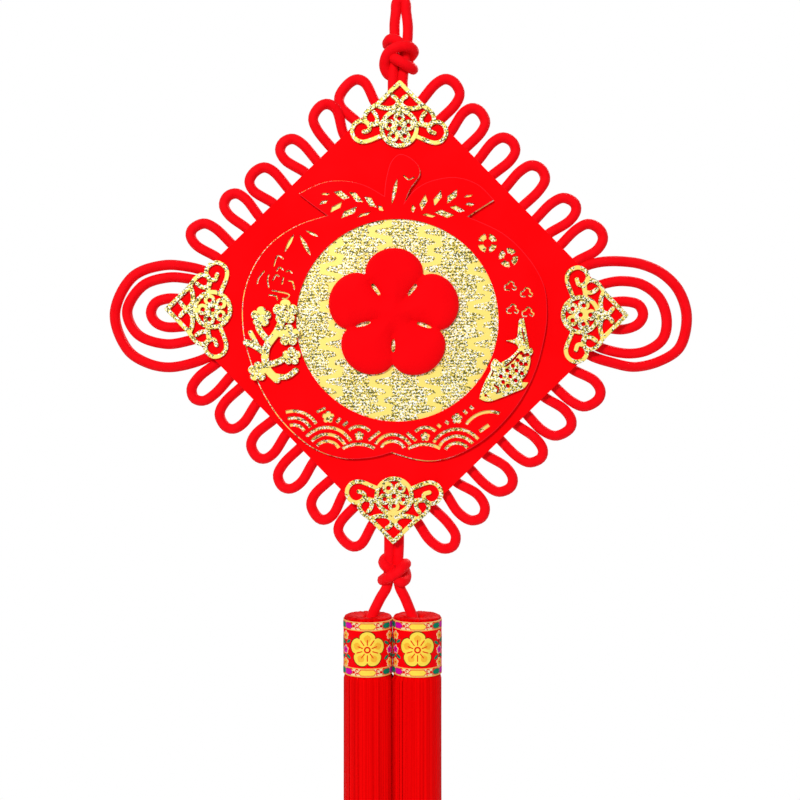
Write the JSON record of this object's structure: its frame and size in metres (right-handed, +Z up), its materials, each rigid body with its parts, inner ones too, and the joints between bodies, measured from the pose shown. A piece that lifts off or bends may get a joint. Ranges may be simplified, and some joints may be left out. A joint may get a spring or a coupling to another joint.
{
  "type": "chinese knot tassel",
  "caption": "Hanging cord knot ornament: a red flocked square on its corner with cord loops all round, a fruit-shaped cut sheet, gilt trims and two tassels below.",
  "frame": {"origin": "inner top of the hanging loop, where a nail or hook carries it", "axes": "+Z up along the hanging direction, -Y is the front, +X to the right as seen from the front"},
  "size_m": [0.3374, 0.0296, 0.6594],
  "materials": {
    "cord": "matte",
    "flock": "matte",
    "glitter": "satin",
    "brocade": "satin",
    "thread": "satin"
  },
  "bodies": {
    "root": {"knot_cord": "cord", "diamond_board": "flock", "glitter_sheet": "glitter", "apple_sheet": "flock", "centre_blossom": "flock", "blossom_sprig": "glitter", "carp": "glitter", "corner_top": "glitter", "corner_right": "glitter", "corner_bottom": "glitter", "corner_left": "glitter", "cuff_left": "brocade", "cuff_right": "brocade", "tassel_left": "thread", "tassel_right": "thread"}
  },
  "joints": []
}
